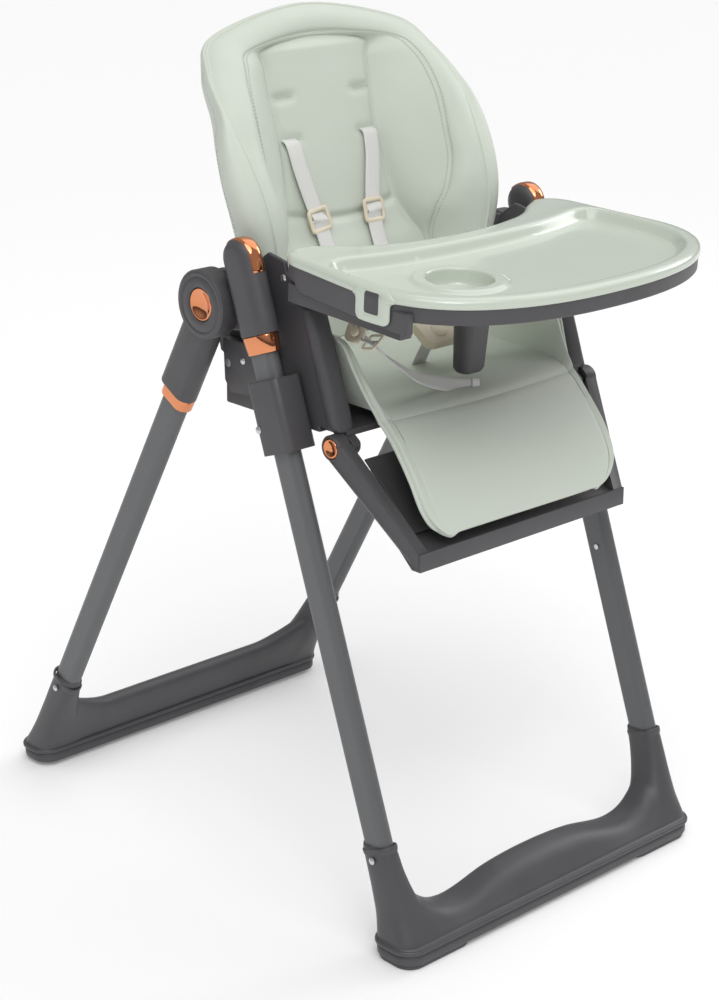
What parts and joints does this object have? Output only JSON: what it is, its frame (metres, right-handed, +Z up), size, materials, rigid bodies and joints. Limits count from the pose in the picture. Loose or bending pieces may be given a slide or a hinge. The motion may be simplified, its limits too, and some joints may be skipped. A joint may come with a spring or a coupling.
{
  "type": "folding high chair",
  "caption": "Folding high chair: splayed flat-oval legs on floor sleds, padded reclining seat with harness, tray with cup holder and a swinging footrest.",
  "frame": {"origin": "centre of the footprint on the floor, midway between left and right and between the front and rear sleds' outer edges", "axes": "+Z up, +X to the occupant's left as they sit, and the chair faces -Y"},
  "size_m": [0.528, 0.8736, 1.0692],
  "materials": {
    "anthracite": "fine matte",
    "tube_grey": "powder coat",
    "copper": "polished copper-tone plating",
    "mint_leatherette": "soft, fine grain",
    "mint_gloss": "glossy",
    "webbing": "woven",
    "cream_plastic": "satin",
    "zinc": "zinc plated",
    "black_rubber": "matte"
  },
  "bodies": {
    "front_frame": {"front_sled": "anthracite", "front_lower_tube_left": "tube_grey", "front_lower_tube_right": "tube_grey", "front_upper_tube_left": "tube_grey", "front_upper_tube_right": "tube_grey", "top_housing_left": "anthracite", "top_housing_right": "anthracite", "housing_strip_left": "copper", "housing_strip_right": "copper", "front_collar_left": "copper", "front_collar_right": "copper", "hinge_pins": "zinc", "front_snap_pins": "zinc", "front_sled_screws": "zinc"},
    "rear_frame": {"rear_sled": "anthracite", "rear_lower_tube_left": "tube_grey", "rear_lower_tube_right": "tube_grey", "rear_upper_tube_left": "tube_grey", "rear_upper_tube_right": "tube_grey", "hinge_sleeve_left": "anthracite", "hinge_sleeve_right": "anthracite", "rear_collar_left": "copper", "rear_collar_right": "copper", "rear_feet": "black_rubber", "rear_snap_pins": "zinc", "rear_sled_screws": "zinc", "fold_springs": "zinc"},
    "fold_button_left": {"fold_button_left": "copper"},
    "fold_button_right": {"fold_button_right": "copper"},
    "seat": {"slider_housing_left": "anthracite", "slider_housing_right": "anthracite", "seat_shell": "anthracite", "armrest_left": "anthracite", "armrest_right": "anthracite", "carriage_screws": "zinc", "recline_pins": "zinc", "seat_cushion": "mint_leatherette", "crotch_strap": "webbing", "waist_strap_left": "webbing", "waist_strap_right": "webbing", "waist_adjusters": "cream_plastic", "harness_buckle": "cream_plastic"},
    "height_handle": {"height_handle": "anthracite"},
    "lock_pin_left": {"lock_pin_left": "zinc"},
    "lock_pin_right": {"lock_pin_right": "zinc"},
    "backrest": {"back_shell": "anthracite", "backrest_cushion": "mint_leatherette", "shoulder_strap_left": "webbing", "shoulder_strap_right": "webbing", "shoulder_adjusters": "cream_plastic"},
    "recline_handle": {"recline_handle": "anthracite"},
    "footrest": {"footrest_frame": "anthracite", "calf_panel": "anthracite", "knee_flap": "mint_leatherette"},
    "footrest_button_left": {"footrest_button_left": "copper"},
    "footrest_button_right": {"footrest_button_right": "copper"},
    "tray": {"tray_base": "anthracite", "crotch_post": "anthracite"},
    "tray_top": {"tray_top": "mint_gloss"},
    "tray_release": {"tray_release": "anthracite"}
  },
  "joints": [
    {"name": "fold", "type": "hinge", "parent": "front_frame", "child": "rear_frame", "pos_m": [0, -0.008, 0.746], "axis": [1, 0, 0], "range_deg": [-44, 0]},
    {"name": "fold_button_left_press", "type": "slide", "parent": "rear_frame", "child": "fold_button_left", "axis": [1, 0, 0], "range_m": [0, 0.003], "stiffness_N_per_m": 900},
    {"name": "fold_button_right_press", "type": "slide", "parent": "rear_frame", "child": "fold_button_right", "axis": [-1, 0, 0], "range_m": [0, 0.003], "stiffness_N_per_m": 900},
    {"name": "seat_height", "type": "slide", "parent": "front_frame", "child": "seat", "axis": [0, 0.3305, 0.9438], "range_m": [-0.19, 0]},
    {"name": "height_handle_release", "type": "slide", "parent": "seat", "child": "height_handle", "axis": [0, 0, -1], "range_m": [0, 0.012]},
    {"name": "lock_pin_left_slide", "type": "slide", "parent": "seat", "child": "lock_pin_left", "axis": [-1, 0, 0], "range_m": [0, 0.006]},
    {"name": "lock_pin_right_slide", "type": "slide", "parent": "seat", "child": "lock_pin_right", "axis": [1, 0, 0], "range_m": [0, 0.006]},
    {"name": "recline", "type": "hinge", "parent": "seat", "child": "backrest", "pos_m": [0, -0.01, 0.668], "axis": [-1, 0, 0], "range_deg": [0, 35]},
    {"name": "recline_handle_pull", "type": "slide", "parent": "backrest", "child": "recline_handle", "axis": [0, 0.2504, 0.9681], "range_m": [0, 0.012], "stiffness_N_per_m": 600},
    {"name": "footrest_swing", "type": "hinge", "parent": "seat", "child": "footrest", "pos_m": [0, -0.192, 0.602], "axis": [-1, 0, 0], "range_deg": [0, 45]},
    {"name": "footrest_button_left_press", "type": "slide", "parent": "footrest", "child": "footrest_button_left", "axis": [1, 0, 0], "range_m": [0, 0.003], "stiffness_N_per_m": 700},
    {"name": "footrest_button_right_press", "type": "slide", "parent": "footrest", "child": "footrest_button_right", "axis": [-1, 0, 0], "range_m": [0, 0.003], "stiffness_N_per_m": 700},
    {"name": "tray_slide", "type": "slide", "parent": "seat", "child": "tray", "axis": [0, -0.9985, -0.0541], "range_m": [0, 0.06]},
    {"name": "tray_top_lift", "type": "slide", "parent": "tray", "child": "tray_top", "axis": [0, -0.0541, 0.9985], "range_m": [0, 0.08]},
    {"name": "tray_release_pull", "type": "slide", "parent": "tray", "child": "tray_release", "axis": [0, -0.9985, -0.0541], "range_m": [0, 0.005], "stiffness_N_per_m": 600}
  ],
  "couplings": [
    {"joint": "lock_pin_left_slide", "follows": "height_handle_release", "ratio": 0.5},
    {"joint": "lock_pin_right_slide", "follows": "height_handle_release", "ratio": 0.5}
  ]
}
